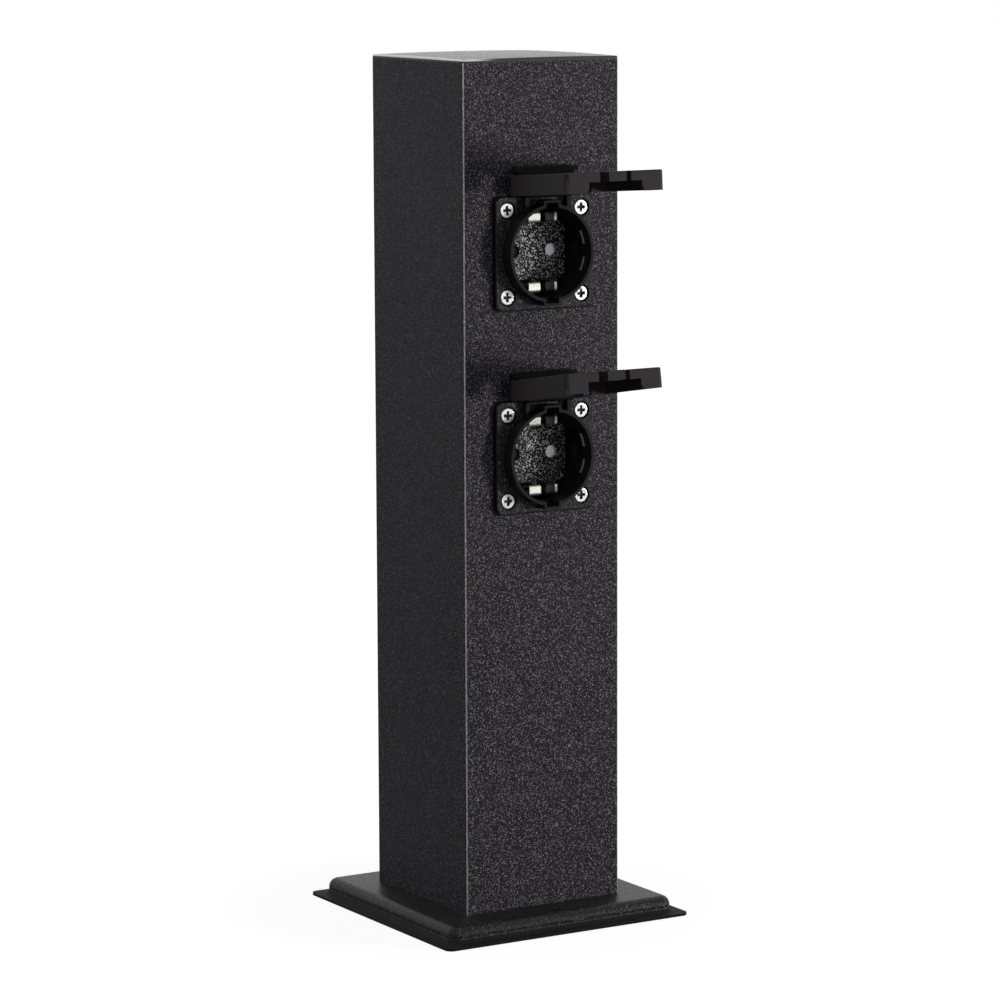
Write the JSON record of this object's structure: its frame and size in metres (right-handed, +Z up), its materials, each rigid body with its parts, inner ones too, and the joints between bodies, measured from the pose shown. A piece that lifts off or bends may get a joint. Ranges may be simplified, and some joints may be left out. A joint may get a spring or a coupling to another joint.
{
  "type": "outdoor socket post",
  "caption": "Square garden energy post with earthed flange sockets under hinged splash lids, on a pressed square base plate.",
  "frame": {"origin": "middle of the square base plate, on the ground", "axes": "+Z up along the post; the sockets face -Y; +X to the right as seen from the front"},
  "size_m": [0.1264, 0.1649, 0.3875],
  "materials": {
    "post_coat": "coarse matt powder coat, anthracite",
    "base_coat": "satin powder coat, black",
    "cap_coat": "matt powder coat, anthracite",
    "black_plastic": "moulded, fine texture",
    "lid_plastic": "moulded, fine texture",
    "insert_plastic": "moulded, grained",
    "grey_plastic": "moulded, smooth",
    "white_plastic": "moulded, smooth",
    "black_rubber": "soft, matt",
    "nickel": "bright nickel plate",
    "zinc_steel": "zinc plated",
    "spring_steel": "drawn wire",
    "brass": "machined",
    "live_wire": "insulation, brown",
    "neutral_wire": "insulation, blue",
    "earth_wire": "insulation, green and yellow"
  },
  "bodies": {
    "post_body": {"barrel_screws": "zinc_steel", "base_nuts": "zinc_steel", "base_plate": "base_coat", "base_screws": "zinc_steel", "block_screws": "zinc_steel", "bond_wire": "earth_wire", "bracket_screws": "zinc_steel", "cable_clamp": "zinc_steel", "cable_grommet": "black_rubber", "clamp_screws": "zinc_steel", "earth_barrel": "brass", "earth_nut": "zinc_steel", "earth_stud": "zinc_steel", "feed_earth_wire": "earth_wire", "feed_live_wire": "live_wire", "feed_neutral_wire": "neutral_wire", "foot_tray": "zinc_steel", "link_earth_wire": "earth_wire", "link_live_wire": "live_wire", "link_neutral_wire": "neutral_wire", "live_barrel": "brass", "lower_contact_carrier": "insert_plastic", "lower_contact_insert": "insert_plastic", "lower_earth_clip": "nickel", "lower_flange_gasket": "black_rubber", "lower_flange_nuts": "zinc_steel", "lower_flange_screws": "nickel", "lower_hinge_pin": "nickel", "lower_live_contact": "brass", "lower_neutral_contact": "brass", "lower_shutter_spring": "spring_steel", "lower_socket_housing": "black_plastic", "lower_terminal_screws": "zinc_steel", "neutral_barrel": "brass", "post": "post_coat", "terminal_block": "white_plastic", "terminal_bracket": "zinc_steel", "top_cap": "cap_coat", "upper_contact_carrier": "insert_plastic", "upper_contact_insert": "insert_plastic", "upper_earth_clip": "nickel", "upper_flange_gasket": "black_rubber", "upper_flange_nuts": "zinc_steel", "upper_flange_screws": "nickel", "upper_hinge_pin": "nickel", "upper_live_contact": "brass", "upper_neutral_contact": "brass", "upper_shutter_spring": "spring_steel", "upper_socket_housing": "black_plastic", "upper_terminal_screws": "zinc_steel"},
    "upper_lid_body": {"upper_lid": "lid_plastic", "upper_lid_seal": "black_rubber"},
    "lower_lid_body": {"lower_lid": "lid_plastic", "lower_lid_seal": "black_rubber"},
    "upper_shutter_body": {"upper_shutter": "grey_plastic"},
    "lower_shutter_body": {"lower_shutter": "grey_plastic"}
  },
  "joints": [
    {"name": "upper_lid_hinge", "type": "hinge", "parent": "post_body", "child": "upper_lid_body", "pos_m": [0, -0.0454, 0.3296], "axis": [1, 0, 0], "range_deg": [-5, 94.4]},
    {"name": "upper_shutter_slide", "type": "slide", "parent": "post_body", "child": "upper_shutter_body", "axis": [0, 0, 1], "range_m": [0, 0.0062], "stiffness_N_per_m": 50, "springref_m": -0.002, "deforming": ["upper_shutter_spring"]},
    {"name": "lower_lid_hinge", "type": "hinge", "parent": "post_body", "child": "lower_lid_body", "pos_m": [0, -0.0454, 0.2396], "axis": [1, 0, 0], "range_deg": [0, 99.4]},
    {"name": "lower_shutter_slide", "type": "slide", "parent": "post_body", "child": "lower_shutter_body", "axis": [0, 0, 1], "range_m": [0, 0.0062], "stiffness_N_per_m": 50, "springref_m": -0.002, "deforming": ["lower_shutter_spring"]}
  ]
}
